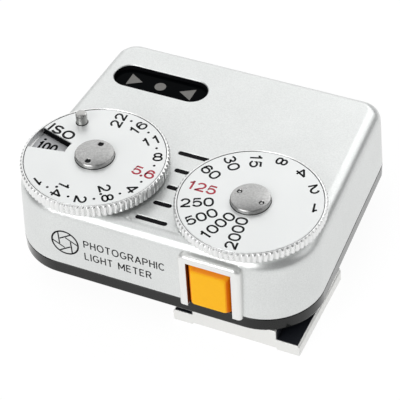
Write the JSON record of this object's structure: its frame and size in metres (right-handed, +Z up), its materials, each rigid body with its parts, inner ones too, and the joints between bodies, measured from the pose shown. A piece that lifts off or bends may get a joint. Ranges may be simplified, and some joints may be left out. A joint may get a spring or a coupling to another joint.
{
  "type": "accessory shoe light meter",
  "caption": "Low slab camera light meter with an aperture dial and a shutter dial on top, a measuring button at the rear, a lamp window, a light cell in front and a foot for an accessory shoe.",
  "frame": {"origin": "centre of the accessory foot's underside, on the flat between its two runners", "axes": "+X from the aperture dial's side towards the shutter dial's side, +Y towards the subject, where the light cell is, so that the measuring button faces -Y, and +Z up from the foot towards the dials"},
  "size_m": [0.0445, 0.0383, 0.0195],
  "materials": {
    "cover": "fine-blasted silver",
    "base": "semi-matt dark grey",
    "foot": "satin silver",
    "blackened_steel": "blackened",
    "plain_steel": "lightly brushed",
    "dial_ring": "bright satin",
    "dial_face": "matt silver with engraved figures",
    "brass": "plain",
    "spring_steel": "plain",
    "button": "orange gloss",
    "black_plastic": "black",
    "smoked_window": "smoked, polished",
    "diffuser": "milky grey",
    "lamp": "red",
    "circuit_board": "green solder resist",
    "cell_window": "milky white",
    "seal": "black"
  },
  "bodies": {
    "housing": {"top_cover": "cover", "base_plate": "base", "accessory_foot": "foot", "grip_spring_left": "blackened_steel", "grip_spring_right": "blackened_steel", "foot_screw_1": "plain_steel", "foot_screw_2": "plain_steel", "foot_screw_3": "plain_steel", "foot_screw_4": "plain_steel", "base_screw_1": "blackened_steel", "base_screw_2": "blackened_steel", "base_screw_3": "blackened_steel", "base_screw_4": "blackened_steel", "aperture_bearing": "brass", "aperture_click_ball": "plain_steel", "aperture_click_spring": "spring_steel", "shutter_bearing": "brass", "shutter_click_ball": "plain_steel", "shutter_click_spring": "spring_steel", "button_return_spring": "spring_steel", "measuring_switch": "black_plastic", "indicator_window": "smoked_window", "indicator_mask": "black_plastic", "light_pipe_left": "diffuser", "light_pipe_centre": "diffuser", "light_pipe_right": "diffuser", "indicator_lamp_left": "lamp", "indicator_lamp_centre": "lamp", "indicator_lamp_right": "lamp", "circuit_board": "circuit_board", "meter_chip": "black_plastic", "calibration_trimmer": "brass", "board_screw_1": "plain_steel", "board_screw_2": "plain_steel", "cell_window": "cell_window", "cell_baffle": "black_plastic", "light_cell": "black_plastic", "cell_board": "circuit_board", "battery_holder": "black_plastic", "battery_contact_upper": "brass", "battery_contact_lower": "brass"},
    "aperture_ring": {"aperture_grip_ring": "dial_ring", "aperture_spindle": "plain_steel", "aperture_retaining_clip": "spring_steel", "aperture_wiper": "spring_steel", "aperture_dial_nut": "plain_steel"},
    "aperture_face": {"aperture_face_disc": "dial_face", "iso_setting_pin": "plain_steel"},
    "shutter_dial": {"shutter_grip_ring": "dial_ring", "shutter_face_disc": "dial_face", "shutter_spindle": "plain_steel", "shutter_retaining_clip": "spring_steel", "shutter_wiper": "spring_steel", "shutter_dial_nut": "plain_steel"},
    "button": {"measuring_button": "button"},
    "cap_contact": {"battery_cap_contact": "spring_steel"},
    "cap": {"battery_cap": "base", "battery_cap_seal": "seal"},
    "batteries": {"battery_lower": "plain_steel", "battery_upper": "plain_steel"}
  },
  "joints": [
    {"name": "aperture_dial_turn", "type": "hinge", "parent": "housing", "child": "aperture_ring", "pos_m": [-0.0241, 0.0007, 0.0158], "axis": [0, 0, 1], "range_deg": [-96, 120]},
    {"name": "iso_setting_turn", "type": "hinge", "parent": "aperture_ring", "child": "aperture_face", "pos_m": [-0.0241, 0.0007, 0.0158], "axis": [0, 0, 1], "range_deg": [-120, 48]},
    {"name": "shutter_dial_turn", "type": "hinge", "parent": "housing", "child": "shutter_dial", "pos_m": [-0.001, 0.0007, 0.0157], "axis": [0, 0, 1], "range_deg": [-96, 168]},
    {"name": "measuring_button_press", "type": "slide", "parent": "housing", "child": "button", "axis": [0, 1, 0], "range_m": [0, 0.00075], "stiffness_N_per_m": 400, "springref_m": -0.0005, "deforming": ["button_return_spring"]},
    {"name": "battery_cap_lift", "type": "slide", "parent": "housing", "child": "cap_contact", "axis": [0, 0, -1], "range_m": [0, 0.014]},
    {"name": "battery_cap_turn", "type": "hinge", "parent": "cap_contact", "child": "cap", "pos_m": [-0.0174, 0.0107, 0.002], "axis": [0, 0, 1], "range_deg": [-90, 90]},
    {"name": "battery_drop", "type": "slide", "parent": "housing", "child": "batteries", "axis": [0, 0, -1], "range_m": [0, 0.014]}
  ],
  "couplings": [
    {"joint": "battery_drop", "follows": "battery_cap_lift", "ratio": 1}
  ]
}
